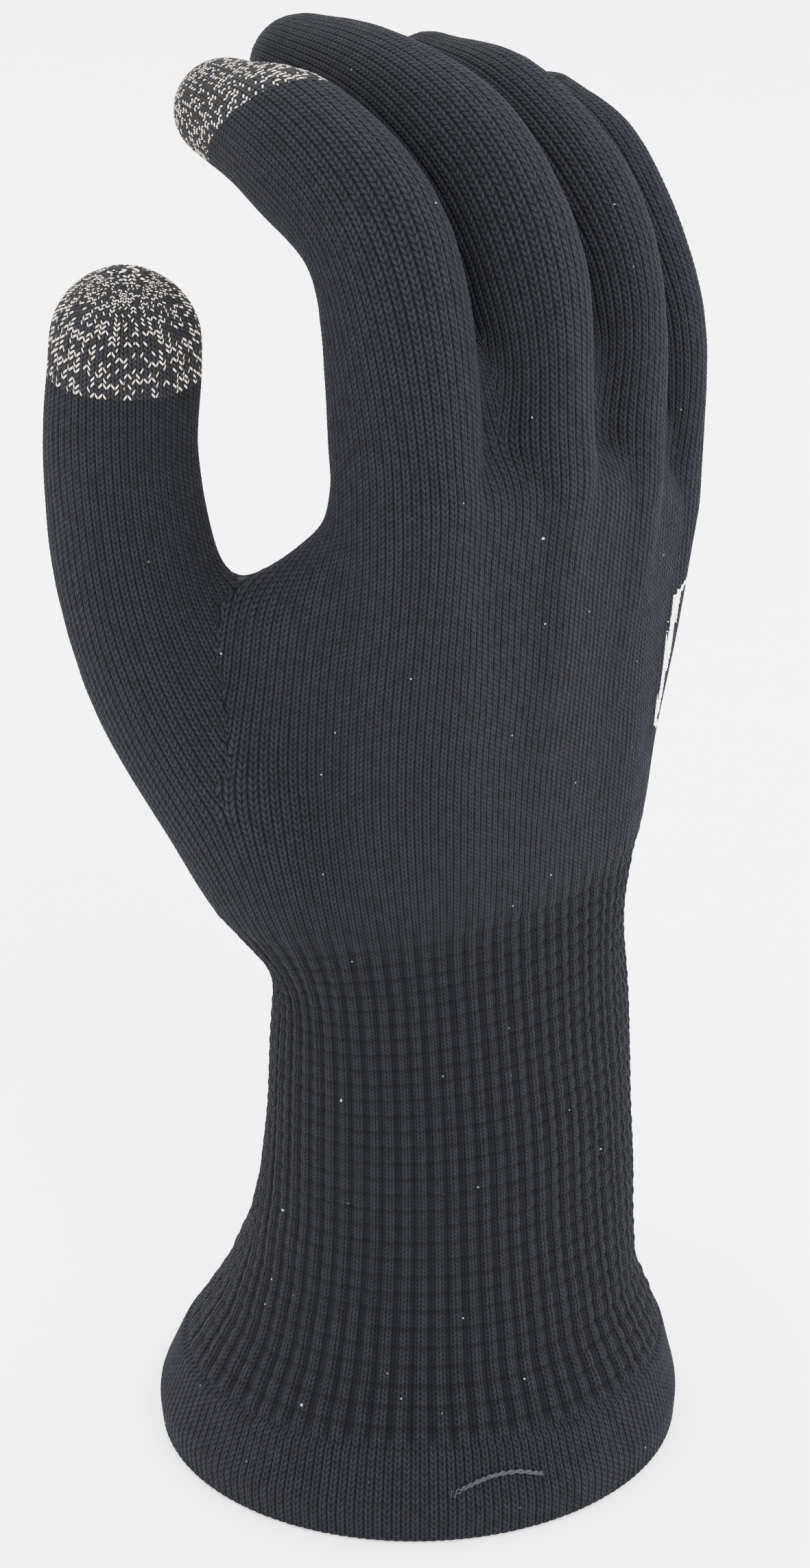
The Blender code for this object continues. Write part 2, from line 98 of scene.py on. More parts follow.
# thumb web's edge: share of the way from the thumb to the index column, height of the edge's centre
WEB_EDGE = ((0.0, 153.0), (0.2, 153.5), (0.4, 156.5), (0.6, 161.5), (0.78, 168.0), (0.9, 175.0),
            (0.98, 184.0))
WEB_ROOT = 0.13  # share of the way up the index column where the web leaves the heel
WRIST_ZONE = (80.0, 102.0)
KNUCKLE_ZONE = 9.0
THUMB_ZONE = (3.9, 5.1)
THUMB_TILT = 0.32  # the thumb bends higher up on the side where the web meets it
MID_ZONE = (6.5, 8.0)
END_ZONE = (5.0, 6.0)
CAP_START = {"index": 8.4, "thumb": 17.8}  # beyond the end joint, along the last bone
CAP_LEAN = {"index": (0.3, 0.0, 0.75), "thumb": (0.0, 0.0, 0.0)}
WALL = 1.8  # outer skin to lining
HEM_ROUND = 1.2
TAUBIN = (0.55, -0.5)  # the two alternating moves of the smoothing
TAUBIN_STEPS = 24
MELT_MOVE = 0.6
MELT_WRIST = (100.0, 12.0)  # height and reach of the smoothing where the hand leaves the cuff
MELT_WRIST_STEPS = 140
MELT_WEB = (-28.0, 3.0, 150.0)
MELT_WEB_REACH = 16.0
MELT_WEB_STEPS = 60
WELT_TOP = 16.0
RIB_TOP = 105.0
# wales: round the cuff, added at each crotch, and ending on each tip
CUFF_WALES = 180
TIP_WALES = {"thumb": 56, "index": 51, "middle": 51, "ring": 50, "little": 45}
FINGER_CROTCH_WALES = 14
CROTCH_LINE = (16.0, 9.0)  # the added wales start this far down a crotch's front and back,
WEB_LINE = (34.0, 24.0)  # and this far down the thumb web's faces
LINE_HALF = 6.0  # half the length of that line over the top of the web,
LINE_SPREAD = 1.3  # which is stretched by this much
TIP_PATCH = 5.6  # radius of the gathered end of a stall
TIP_DOME = 20.0  # twice the radius of the patch's dome
GOLDEN_TURN = 2.39996  # radians from each point of a sunflower pattern to the next
WALE_LAP = 1000.0  # added to negative wale numbers
FIRST_GUESS = 0.8  # courses' height per millimetre, where the solver starts
SOLVER_STEPS = 4000
SOLVER_REST = 1e-7
BUSY_RANK = 1e6  # faces that hold a starting wale are numbered last,
BUSY_WEIGHT = 1e-3  # and hardly count
ROUNDING = 0.6  # how far a cut face bulges towards its corners' tangent planes
COURSES_PER_WALE = 1.5
RIBS_PER_WALE = 0.4
WAFFLE_COURSES = 4.0
LEG_SLANT = 1.7  # courses that a stitch's leg rises over one wale
STITCH_HEIGHT = 0.34
STITCH_SIZE = 1.3  # width of a stitch that has the full height
GUTTER_DEPTH = 0.22  # hollow between a stitch's two legs, as a share of its height
LEG_DEPTH = 0.28  # hollow between two courses, as a share of its height
RIB_HEIGHT = 0.28
RIB_CLIMB = 3.0  # the ribs' top rises this much over the hand's half width
HALF_WIDTH = 35.0
MIDDLE_X = 9.0
WAFFLE_DEPTH = 0.52
BULGE = 0.35  # the hand stands this far over the top of the ribs
WELT_STEP = 0.3
WELT_GROOVE = 0.4
WOBBLE = (0.28, 24.0, 5)  # height, length and seed of the fabric's unevenness
BADGE_WIDTH = 15.0
BADGE_HEIGHT = 25.0
BADGE_CORNER = 2.5
BADGE_LINE = 0.32  # half width of the frame's line,
BADGE_INSET = 0.5  # whose middle lies this far inside the edge
BADGE_BARS = ((0.45, 0.5), (0.1, 0.62), (-0.25, 0.36))  # height and half length, as shares
BADGE_BAR = 0.6  # half thickness of a bar
BADGE_DOT = (-0.62, 1.3)  # height as a share, and radius


def unit(v):
    v = np.asarray(v, float)
    return v / np.linalg.norm(v)


JOINT = {j["name"]: np.array(j["pos_m"], float) * 1000 for j in frame["joints"]}
AXIS = {j["name"]: unit(j["axis"]) for j in frame["joints"]}


def node_points(name):
    me = frame["nodes"][name].data
    co = np.empty(len(me.vertices) * 3)
    me.vertices.foreach_get("co", co)
    return co.reshape(-1, 3) * 1000


def tip_centre(name):
    joint = JOINT[name + "_end"]
    points = node_points(TIP_NODE[name])
    far = points[np.argmax(((points - joint) ** 2).sum(1))]
    return far - unit(far - joint) * GIRTH[name][3][0]


def rounded(chain, girth, per_bone=5):
    """Points and half widths along a smooth curve through a stall's four knots."""
    knots = np.concatenate([np.asarray(chain, float), np.asarray(girth, float)], 1)
    ends = np.concatenate([[2 * knots[0] - knots[1]], knots, [2 * knots[-1] - knots[-2]]])
    line = []
    for k in range(len(knots) - 1):
        a, b, c, d = ends[k:k + 4]
        for t in np.arange(per_bone) / per_bone:
            line.append(0.5 * (2 * b + (c - a) * t + (2 * a - 5 * b + 4 * c - d) * t ** 2
                               + (3 * b - a - 3 * c + d) * t ** 3))
    line.append(knots[-1])
    return [(p[:3], p[3], p[4]) for p in line]


def chains():
    """Knuckle, middle joint, end joint and tip centre of every stall."""
    made = {}
    row, axis = JOINT["knuckle_row"], AXIS["knuckle_row"]
    for name, share, arch in zip(HAND, KNUCKLE_SHARE, KNUCKLE_ARCH):
        knuckle = row + axis * KNUCKLE_SPAN * share + np.array(arch)
        made[name] = np.array([knuckle, JOINT[name + "_middle"], JOINT[name + "_end"], tip_centre(name)])
    free, end = JOINT["thumb_knuckle"], JOINT["thumb_end"]
    knuckle = free - unit(end - free) * THUMB_KNUCKLE_BACK
    made["thumb"] = np.array([THUMB_ROOT, knuckle, end, tip_centre("thumb")])
    return made


CHAIN = chains()


# ---- base skin ----
def sphere_dirs(count):
    i = np.arange(count) + 0.5
    polar = np.arccos(1 - 2 * i / count)
    turn = math.pi * (1 + 5 ** 0.5) * i
    return np.stack([np.cos(turn) * np.sin(polar), np.sin(turn) * np.sin(polar), np.cos(polar)], 1)


BALL = sphere_dirs(BALL_POINTS)


def ball(centre, wide, deep):
    return np.asarray(centre, float) + BALL * np.array([wide, deep, deep])


def add_hull(bm, *clouds):
    verts = [bm.verts.new(p) for p in np.concatenate(clouds)]
    made = bmesh.ops.convex_hull(bm, input=verts)
    spare = {g for g in made["geom_interior"] + made["geom_unused"] if isinstance(g, bmesh.types.BMVert)}
    bmesh.ops.delete(bm, geom=list(spare), context="VERTS")


def cuff_levels():
    """(z, centre x, centre y, half width, half depth) at each height of the CAD cuff."""
    found = {}
    for node in ("welt_outer", "rib_cuff", "wrist_rib"):
        points = node_points(node)
        for z in np.unique(np.round(points[:, 2], 1)):
            ring = points[np.abs(points[:, 2] - z) < LEVEL_REACH][:, :2]
            lo, hi = ring.min(0), ring.max(0)
            if len(ring) >= LEVEL_POINTS:
                found[float(z)] = (z, *(lo + hi) / 2, *(hi - lo) / 2)
    return [found[z] for z in sorted(found)]


def level_ring(level, z):
    _, x, y, wide, deep = level
    turn = np.linspace(0, 2 * math.pi, RING_POINTS, endpoint=False)
    return np.stack([x + wide * np.cos(turn), y + deep * np.sin(turn), np.full(RING_POINTS, z)], 1)


def web_edge():
    """Centres along the hanging upper edge of the web, from the thumb to the index finger's side."""
    a = CHAIN["thumb"][1] + np.array([1.0, 0.0, 0.0])
    b = CHAIN["index"][0] + np.array([0.0, 0.0, -1.0])
    line = []
    for t, z in WEB_EDGE:
        point = a + (b - a) * t
        point[2] = z
        line.append(point)
    return line


def add_chain(bm, balls):
    for a, b in zip(balls, balls[1:]):
        add_hull(bm, a, b)


def stall_balls(name):
    return [ball(*knot) for knot in rounded(CHAIN[name], GIRTH[name])]


def add_cuff(bm):
    levels = cuff_levels()
    add_hull(bm, level_ring(levels[0], CUFF_FOOT), level_ring(levels[0], 0.0))
    for low, high in zip(levels, levels[1:]):
        add_hull(bm, level_ring(low, low[0]), level_ring(high, high[0]))


def finger_web(k, name):
    """Two spheres in the web beside a finger, between fingers k and k + 1."""
    chain = CHAIN[name]
    share = (WEB_TOP[k] - chain[0][2]) / (chain[1][2] - chain[0][2])
    top = chain[0] + (chain[1] - chain[0]) * share
    low = chain[0] - np.array([0, 0, WEB_DROP])
    return [ball(top, WEB_RADIUS, WEB_RADIUS), ball(low, WEB_RADIUS, WEB_RADIUS)]


def add_fingers(bm):
    """The four fingers, the palm between them and their webs."""
    heels = [ball((x, y, HEEL_Z), half, half) for x, y, half in HEEL]
    columns = []
    for name, heel in zip(HAND, heels):
        add_chain(bm, [heel] + stall_balls(name))
        across, deep = GIRTH[name][0]
        columns.append(ball(CHAIN[name][0] + np.array([0, 0, -COLUMN_DROP]), across, deep - COLUMN_THIN))
    for k in range(3):
        add_hull(bm, heels[k], columns[k], heels[k + 1], columns[k + 1])
        add_hull(bm, *finger_web(k, HAND[k]), *finger_web(k, HAND[k + 1]))


def add_thumb(bm):
    """The thumb and the web between it and the side of the palm."""
    add_chain(bm, stall_balls("thumb"))
    heel = np.array([HEEL[0][0], HEEL[0][1], HEEL_Z])
    palm = heel + (CHAIN["index"][0] - heel) * WEB_ROOT
    low = [ball(CHAIN["thumb"][0], 9.0, 9.0), ball(palm, 12.0, 12.0)]
    edge = [ball(point, WEB_THICK, WEB_THICK) for point in web_edge()]
    for a, b in zip(edge, edge[1:]):
        add_hull(bm, a, b, *low)


def base_volume():
    """Overlapping hulls whose union is the glove's shape."""
    bm = bmesh.new()
    add_cuff(bm)
    add_fingers(bm)
    add_thumb(bm)
    return bm


def remeshed(bm):
    """Vertices and quads of the union of all the hulls."""
    me = bpy.data.meshes.new("union")
    bm.to_mesh(me)
    bm.free()
    obj = bpy.data.objects.new("union", me)
    bpy.context.scene.collection.objects.link(obj)
    mod = obj.modifiers.new("voxel", "REMESH")
    mod.mode = "VOXEL"
    mod.voxel_size = VOXEL
    mod.adaptivity = 0.0
    graph = bpy.context.evaluated_depsgraph_get()
    made = obj.evaluated_get(graph).to_mesh()
    co = np.empty(len(made.vertices) * 3, np.float32)
    made.vertices.foreach_get("co", co)
    corners = np.empty(len(made.loops), np.int32)
    made.loops.foreach_get("vertex_index", corners)
    assert len(corners) == 4 * len(made.polygons)
    bpy.data.objects.remove(obj)
    bpy.data.meshes.remove(me)
    return co.reshape(-1, 3).astype(float), corners.reshape(-1, 4).astype(np.int64)


def edges_of(faces):
    k = faces.shape[1]
    e = np.concatenate([faces[:, [i, (i + 1) % k]] for i in range(k)])
    return np.unique(np.sort(e, axis=1), axis=0)


def pull(co, edges):
    """The way from each vertex to the mean of its neighbours."""
    n = len(co)
    degree = np.bincount(edges.ravel(), minlength=n)[:, None]
    total = np.stack([np.bincount(edges[:, 0], co[edges[:, 1], a], n) +
                      np.bincount(edges[:, 1], co[edges[:, 0], a], n) for a in range(3)], 1)
    return total / degree - co


def relax(co, edges, steps):
    """Taubin smoothing, which keeps the volume."""
    for step in range(steps):
        co = co + pull(co, edges) * TAUBIN[step % 2]
    return co


def melt(co, edges, steps, weight):
    """Plain smoothing of one area, which rounds off its steps and creases."""
    share = MELT_MOVE * weight[:, None]
    for _ in range(steps):
        co = co + pull(co, edges) * share
    return co


def used_only(co, faces):
    keep = np.unique(faces)
    index = np.full(len(co), -1, np.int64)
    index[keep] = np.arange(len(keep))
    return co[keep], index[faces]


def triangles(co, quads):
    """Every quad cut along its shorter diagonal."""
    first = np.linalg.norm(co[quads[:, 0]] - co[quads[:, 2]], axis=1)
    second = np.linalg.norm(co[quads[:, 1]] - co[quads[:, 3]], axis=1)
    short = first < second
    return np.concatenate([quads[short][:, [0, 1, 2]], quads[short][:, [0, 2, 3]],
                           quads[~short][:, [0, 1, 3]], quads[~short][:, [1, 2, 3]]])


def open_rim(tris):
    """Vertices on edges that have only one face."""
    half = np.concatenate([tris[:, [0, 1]], tris[:, [1, 2]], tris[:, [2, 0]]])
    key = np.sort(half, axis=1)
    _, inverse, count = np.unique(key, axis=0, return_inverse=True, return_counts=True)
    return np.unique(key[count[inverse.ravel()] == 1])


def base_skin():
    """Smooth triangles of the outside, open at the hem, and the hem's vertices."""
    co, quads = remeshed(base_volume())
    edges = edges_of(quads)
    co = relax(co, edges, TAUBIN_STEPS)
    away = (co[:, 2] - MELT_WRIST[0]) / MELT_WRIST[1]
    co = melt(co, edges, MELT_WRIST_STEPS, np.exp(-away ** 2))
    away = np.linalg.norm(co - MELT_WEB, axis=1) / MELT_WEB_REACH
    co = melt(co, edges, MELT_WEB_STEPS, np.exp(-away ** 2))
    row = float(np.median(co[np.abs(co[:, 2]) < 0.5 * VOXEL, 2]))
    keep = (co[quads, 2] > row - 0.5 * VOXEL).all(1)
    co, quads = used_only(co, quads[keep])
    tris = triangles(co, quads)
    rim = open_rim(tris)
    co[rim, 2] = 0.0
    return co, tris, rim


# ---- knit coordinates ----
class Net:
    """Cotangent weights, neighbours and normals of the base skin."""

    def __init__(self, co, tris):
        self.co, self.tris = co, tris
        p = co[tris]
        cot = np.empty(tris.shape)
        for k in range(3):
            a, b = p[:, (k + 1) % 3] - p[:, k], p[:, (k + 2) % 3] - p[:, k]
            area = np.linalg.norm(np.cross(a, b), axis=1)
            cot[:, k] = (a * b).sum(1) / np.maximum(area, 1e-9)
        start = np.concatenate([tris[:, (k + 1) % 3] for k in range(3)])
        end = np.concatenate([tris[:, (k + 2) % 3] for k in range(3)])
        weight = np.concatenate([cot[:, k] for k in range(3)]) * 0.5
        low, high = np.minimum(start, end), np.maximum(start, end)
        self.edges, index = np.unique(np.stack([low, high], 1), axis=0, return_inverse=True)
        self.side = index.reshape(3, -1).T  # edge opposite corner k of each face
        self.weight = np.bincount(index.ravel(), weight)
        cross = np.cross(p[:, 1] - p[:, 0], p[:, 2] - p[:, 0])
        self.area2 = np.linalg.norm(cross, axis=1)
        self.face_normal = cross / np.maximum(self.area2, 1e-9)[:, None]
        self.normal = vertex_normals(co, tris)


def vertex_normals(co, tris):
    p = co[tris]
    cross = np.cross(p[:, 1] - p[:, 0], p[:, 2] - p[:, 0])
    total = np.stack([np.bincount(tris.ravel(), np.repeat(cross[:, a], 3), len(co)) for a in range(3)], 1)
    return total / np.maximum(np.linalg.norm(total, axis=1), 1e-12)[:, None]


def potential(net, source, fixed):
    """Heights of the courses: zero at the hem, with `source` wales starting or ending at vertices."""
    n = len(net.co)
    low, high = net.edges[:, 0], net.edges[:, 1]
    rows = np.concatenate([low, high])
    cols = np.concatenate([high, low])
    weight = np.concatenate([net.weight, net.weight])
    order = np.argsort(rows, kind="stable")
    rows, cols, weight = rows[order], cols[order], weight[order]
    starts = np.searchsorted(rows, np.arange(n))
    diagonal = np.bincount(rows, weight, n)
    free = np.ones(n)
    free[fixed] = 0.0

    def laplace(x):
        return (diagonal * x - np.add.reduceat(weight * x[cols], starts)) * free

    # conjugate gradients, with the diagonal as preconditioner
    x = net.co[:, 2] * FIRST_GUESS * free
    rest = -source * free - laplace(x)
    inverse = 1.0 / np.maximum(diagonal, 1e-6)
    scaled = rest * inverse * free
    way = scaled.copy()
    energy = rest @ scaled
    for step in range(SOLVER_STEPS):
        change = laplace(way)
        reach = energy / (way @ change)
        x += reach * way
        rest -= reach * change
        if step % 50 == 0 and np.abs(rest).max() < SOLVER_REST:
            break
        scaled = rest * inverse * free
        fresh = rest @ scaled
        way = scaled + (fresh / energy) * way
        energy = fresh
    return x


def conjugate(net, v, busy):
    """Wale number at every face's circumcentre, by walking up from the hem."""
    tris, count = net.tris, len(net.tris)
    pair = np.full((len(net.edges), 2), -1, np.int64)
    flat = net.side.ravel()
    order = np.argsort(flat, kind="stable")
    face = order // 3
    edge = flat[order]
    first = np.r_[True, edge[1:] != edge[:-1]]
    pair[edge[first], 0] = face[first]
    pair[edge[~first], 1] = face[~first]
    other = pair[net.side, 0]
    own = np.arange(count)[:, None]
    other = np.where(other == own, pair[net.side, 1], other)
    step = np.stack([net.weight[net.side[:, k]] * (v[tris[:, (k + 2) % 3]] - v[tris[:, (k + 1) % 3]])
                     for k in range(3)], 1)
    rank = v[tris].mean(1) + BUSY_RANK * busy[tris].any(1)
    other, step, rank = other.tolist(), step.tolist(), rank.tolist()
    u = [None] * count
    seed = int(np.argmin(v[tris].mean(1)))
    heap = [(rank[seed], seed, 0.0)]
    while heap:
        _, f, value = heapq.heappop(heap)
        if u[f] is not None:
            continue
        u[f] = value
        for g, d in zip(other[f], step[f]):
            if g >= 0 and u[g] is None:
                heapq.heappush(heap, (rank[g], g, value + d))
    return np.array(u)


def corner_wales(net, v, u, busy):
    """Wale number at every face corner, and the width of a wale at every vertex.

    The corners of one vertex differ by whole numbers."""
    p = net.co[net.tris]
    val = v[net.tris]
    n, area2 = net.face_normal, np.maximum(net.area2, 1e-9)
    grad = np.zeros_like(n)
    for k in range(3):
        opposite = p[:, (k + 2) % 3] - p[:, (k + 1) % 3]
        grad += val[:, k, None] * np.cross(n, opposite) / area2[:, None]
    turn = -np.cross(n, grad)
    length2 = np.stack([((p[:, (k + 1) % 3] - p[:, (k + 2) % 3]) ** 2).sum(1) for k in range(3)], 1)
    bary = np.stack([length2[:, k] * (length2[:, (k + 1) % 3] + length2[:, (k + 2) % 3] - length2[:, k])
                     for k in range(3)], 1)
    centre = (p * (bary / bary.sum(1, keepdims=True))[:, :, None]).sum(1)
    guess = u[:, None] + ((p - centre[:, None]) * turn[:, None]).sum(2)
    weight = np.where(busy[net.tris].any(1), BUSY_WEIGHT, 1.0) * net.area2
    wave = np.exp(2j * math.pi * guess) * weight[:, None]
    flat, verts = net.tris.ravel(), len(net.co)
    total = np.bincount(flat, wave.real.ravel(), verts) + 1j * np.bincount(flat, wave.imag.ravel(), verts)
    at = (np.angle(total) / (2 * math.pi))[net.tris]
    spread = np.log(1.0 / np.maximum(np.linalg.norm(grad, axis=1), 1e-3))
    size = np.bincount(flat, np.repeat(spread, 3), verts) / np.bincount(flat, minlength=verts)
    return at + np.round(guess - at), np.exp(size)


def knit_sources(net):
    """One wale starts or ends at each chosen vertex: below the crotches and on the tips."""
    source = np.zeros(len(net.co))
    co = net.co
    for name, wales in TIP_WALES.items():
        chain = CHAIN[name]
        out = unit(chain[3] - chain[2])
        pole = chain[3] + out * GIRTH[name][3][0]
        side = unit(np.cross(out, [0.3, 0.2, 1.0]))
        up = np.cross(out, side)
        for k in range(wales):
            reach = TIP_PATCH * ((k + 0.5) / wales) ** 0.5
            turn = GOLDEN_TURN * k
            spoke = side * reach * math.cos(turn) + up * reach * math.sin(turn)
            point = pole + spoke - out * reach ** 2 / TIP_DOME
            source[nearest(co, point)] -= 1
    for k in range(3):
        a, b = CHAIN[HAND[k]], CHAIN[HAND[k + 1]]
        mid = (a[0] + a[1] + b[0] + b[1]) / 4
        mid[2] = WEB_TOP[k] + WEB_RADIUS
        line_sources(co, source, mid, np.array([0.0, 1.0, 0.0]), FINGER_CROTCH_WALES, *CROTCH_LINE)
    edge = web_edge()
    top = edge[1] + (edge[2] - edge[1]) * 0.5 + np.array([0, 0, WEB_THICK])
    way = edge[3] - edge[0]
    ridge = unit([-way[1], way[0], 0.0])
    if ridge[1] < 0:
        ridge = -ridge
    rest = sum(TIP_WALES.values()) - CUFF_WALES - 3 * FINGER_CROTCH_WALES
    line_sources(co, source, top, ridge, rest, *WEB_LINE)
    return source


def nearest(co, point):
    return int(np.argmin(((co - point) ** 2).sum(1)))


def line_sources(co, source, top, ridge, wales, front, behind):
    """Wales that start along a line over the web and down its two faces."""
    for t in (np.arange(wales) + 0.5) / wales:
        s = -LINE_HALF - front + t * (2 * LINE_HALF + front + behind)
        drop = max(0.0, abs(s) - LINE_HALF)
        over = ridge * float(np.clip(s, -LINE_HALF, LINE_HALF)) * LINE_SPREAD
        source[nearest(co, top + over - np.array([0, 0, drop]))] += 1


# ---- fine skin ----
def smoothstep(a, b, x):
    t = np.clip((x - a) / (b - a), 0.0, 1.0)
    return t * t * (3 - 2 * t)


def soft_noise(p, scale, seed):
    """Smooth random field from a few seeded waves."""
    rng = np.random.default_rng(seed)
    total = np.zeros(len(p))
    for _ in range(10):
        wave = rng.normal(size=3) / scale
        total += np.sin(p @ wave * 2 * math.pi * 0.5 + rng.uniform(0, 6.28))
    return total / 10 ** 0.5


def split_faces(net, cuts):
    """Barycentric grid of every face, with shared points along the edges."""
    grid = [(i, j, cuts - i - j) for i in range(cuts, -1, -1) for j in range(cuts - i, -1, -1)]
    place = {g: k for k, g in enumerate(grid)}
    count, verts, edges = len(net.tris), len(net.co), len(net.edges)
    inner = [g for g in grid if min(g) > 0]
    index = np.empty((count, len(grid)), np.int64)
    tris = net.tris
    for g, k in place.items():
        zero = [c for c in range(3) if g[c] == 0]
        if len(zero) == 2:
            index[:, k] = tris[:, g.index(cuts)]
        elif len(zero) == 1:
            c = zero[0]
            a, b = (c + 1) % 3, (c + 2) % 3
            forward = tris[:, a] < tris[:, b]
            step = np.where(forward, g[b], g[a]) - 1
            index[:, k] = verts + net.side[:, c] * (cuts - 1) + step
        else:
            index[:, k] = verts + edges * (cuts - 1) + np.arange(count) * len(inner) + inner.index(g)
    small = []
    for i, j, k in place:
        if i > 0:
            small.append((place[(i, j, k)], place[(i - 1, j + 1, k)], place[(i - 1, j, k + 1)]))
        if i > 0 and j > 0:
            small.append((place[(i, j, k)], place[(i - 1, j, k + 1)], place[(i, j - 1, k + 1)]))
    return np.array(grid, float) / cuts, index, np.array(small)


def rib_top(p):
    """The ribs run a little higher on the little finger's side."""
    return RIB_TOP + RIB_CLIMB * (p[:, 0] - MIDDLE_X) / HALF_WIDTH


def rib_share(p):
    """1 where the fabric is ribbed, fading into plain knit above and at the welt."""
    top = rib_top(p)
    return smoothstep(top + 8.0, top - 5.0, p[:, 2]) * smoothstep(WELT_TOP, WELT_TOP + 2.0, p[:, 2])


def stitch_relief(u, course):
    """The two slanting legs of every stitch, 0 to 1."""
    across = np.abs(u - np.floor(u) - 0.5)
    leg = np.abs(np.sin(math.pi * (course - LEG_SLANT * across))) ** 0.7
    wale = 1.0 - (2.0 * across) ** 2.6 - GUTTER_DEPTH * np.exp(-(across / 0.09) ** 2)
    return wale * (1.0 - LEG_DEPTH + LEG_DEPTH * leg)


def rib_relief(p, u, course):
    """Ridges up the cuff, crossed by the waffle's grooves, which are deeper on the far side."""
    ridge = np.sin(2 * math.pi * RIBS_PER_WALE * u)
    ridge = np.sign(ridge) * np.abs(ridge) ** 0.75
    waffle = np.abs(np.sin(math.pi * course / WAFFLE_COURSES)) ** 0.5
    ulnar = smoothstep(-15.0, 35.0, p[:, 0])
    return RIB_HEIGHT * ridge * (0.8 + 0.2 * waffle) - WAFFLE_DEPTH * (1.0 - waffle) * (0.55 + 0.45 * ulnar)


def relief(p, u, course, size):
    """How far the knit stands out from the base skin, in millimetres."""
    z = p[:, 2]
    top = rib_top(p)
    rib = rib_share(p)
    grain = np.clip(size / STITCH_SIZE, 0.1, 1.15)
    high = STITCH_HEIGHT * grain * stitch_relief(u, course) * (1.0 - 0.5 * rib)
    high += rib * rib_relief(p, u, course)
    high += BULGE * smoothstep(top - 1.0, top + 2.5, z) * smoothstep(top + 18.0, top + 4.0, z)
    high += WELT_STEP * smoothstep(WELT_TOP + 0.6, WELT_TOP - 0.6, z)
    high -= WELT_GROOVE * np.exp(-((z - WELT_TOP - 0.2) / 0.7) ** 2)
    height, length, seed = WOBBLE
    high += height * soft_noise(p, length, seed) * smoothstep(4.0, 20.0, z)
    fold = np.clip((HEM_ROUND - z) / HEM_ROUND, 0.0, 1.0)
    return high * (1.0 - fold ** 4) - 0.5 * WALL * (1.0 - np.sqrt(1.0 - fold ** 2))


def fine_skin(net, v, wales, size):
    """Every face cut finely, rounded between the base vertices, and raised by the knit."""
    grid, index, small = split_faces(net, CUTS)
    corner = net.co[net.tris]
    normal = net.normal[net.tris]
    out = np.zeros((int(index.max()) + 1, 3))
    for k, w in enumerate(grid):
        flat = (corner * w[None, :, None]).sum(1)
        n = (normal * w[None, :, None]).sum(1)
        off = ((corner - flat[:, None]) * normal).sum(2)
        soft = flat + ROUNDING * (off[:, :, None] * normal * w[None, :, None]).sum(1)
        n /= np.linalg.norm(n, axis=1)[:, None]
        course = (v[net.tris] @ w) * COURSES_PER_WALE
        high = relief(soft, wales @ w, course, size[net.tris] @ w)
        out[index[:, k]] = soft + n * high[:, None]
    faces = index[:, small].reshape(-1, 3)
    uv = np.empty((len(net.tris), len(small), 3, 2), np.float32)
    course = v[net.tris] * COURSES_PER_WALE
    lap = np.where(wales.mean(1) < 0.0, WALE_LAP, 0.0)
    for k, tri in enumerate(small):
        for c, g in enumerate(tri):
            uv[:, k, c, 0] = wales @ grid[g] + lap
            uv[:, k, c, 1] = course @ grid[g]
    return out, faces, uv.reshape(-1, 3, 2), np.repeat(np.arange(len(net.tris)), len(small))


# ---- regions ----
def along(start, end):
    return unit(np.asarray(end) - np.asarray(start))


def bend(a, b, centre, way, reach):
    """(body a, body b, start, end) of the stretch that bends between two bodies."""
    return a, b, centre - way * reach[0], centre + way * reach[1]


def zones():
    """Every bending stretch, in millimetres."""
    made = {}
    x, y, _ = JOINT["wrist_flex"]
    made["wrist"] = ("cuff", "hand", [x, y, WRIST_ZONE[0]], [x, y, WRIST_ZONE[1]])
    axis = AXIS["knuckle_row"]
    up = unit(np.array([0, 0, 1.0]) - axis * axis[2])
    made["knuckle"] = bend("hand", "knuckles", JOINT["knuckle_row"], up, (KNUCKLE_ZONE, KNUCKLE_ZONE))
    for name in HAND:
        knuckle, middle, end, tip = CHAIN[name]
        way = unit(along(knuckle, middle) + along(middle, end))
        made[name + "_mid"] = bend("knuckles", name + "_mid", middle, way, MID_ZONE)
        way = unit(along(middle, end) + along(end, tip))
        made[name + "_tip"] = bend(name + "_mid", name + "_dist", end, way, END_ZONE)
    _, knuckle, end, tip = CHAIN["thumb"]
    toward = unit((CHAIN["index"][0] - knuckle) * np.array([1.0, 1.0, 0.0]))
    way = unit(along(knuckle, end) - THUMB_TILT * toward)
    made["thumb_mid"] = bend("hand", "thumb_prox", JOINT["thumb_knuckle"], way, THUMB_ZONE)
    way = unit(along(knuckle, end) + along(end, tip))
    made["thumb_tip"] = bend("thumb_prox", "thumb_dist", end, way, END_ZONE)
    return made


ZONE = zones()


def share(points, zone):
    start, end = np.asarray(ZONE[zone][2]), np.asarray(ZONE[zone][3])
    return (points - start) @ (end - start) / ((end - start) @ (end - start))


def nearest_stall(points):
    """Which stall each point belongs to: 0 to 3 for the fingers, 4 for the thumb."""
    best = np.full(len(points), 1e9)
    label = np.zeros(len(points), int)
    for k, name in enumerate(HAND + ("thumb",)):
        knots, radii = list(CHAIN[name]), [max(g) for g in GIRTH[name]]
        if k < 4:
            knots.insert(0, np.array([HEEL[k][0], HEEL[k][1], HEEL_Z]))
            radii.insert(0, HEEL[k][2])
        for a, b, ra, rb in zip(knots, knots[1:], radii, radii[1:]):
            t = np.clip((points - a) @ (b - a) / ((b - a) @ (b - a)), 0, 1)
            gap = np.linalg.norm(points - a - t[:, None] * (b - a), axis=1) / (ra + (rb - ra) * t)
            nearer = gap < best
            best[nearer] = gap[nearer]
            label[nearer] = k
    return label


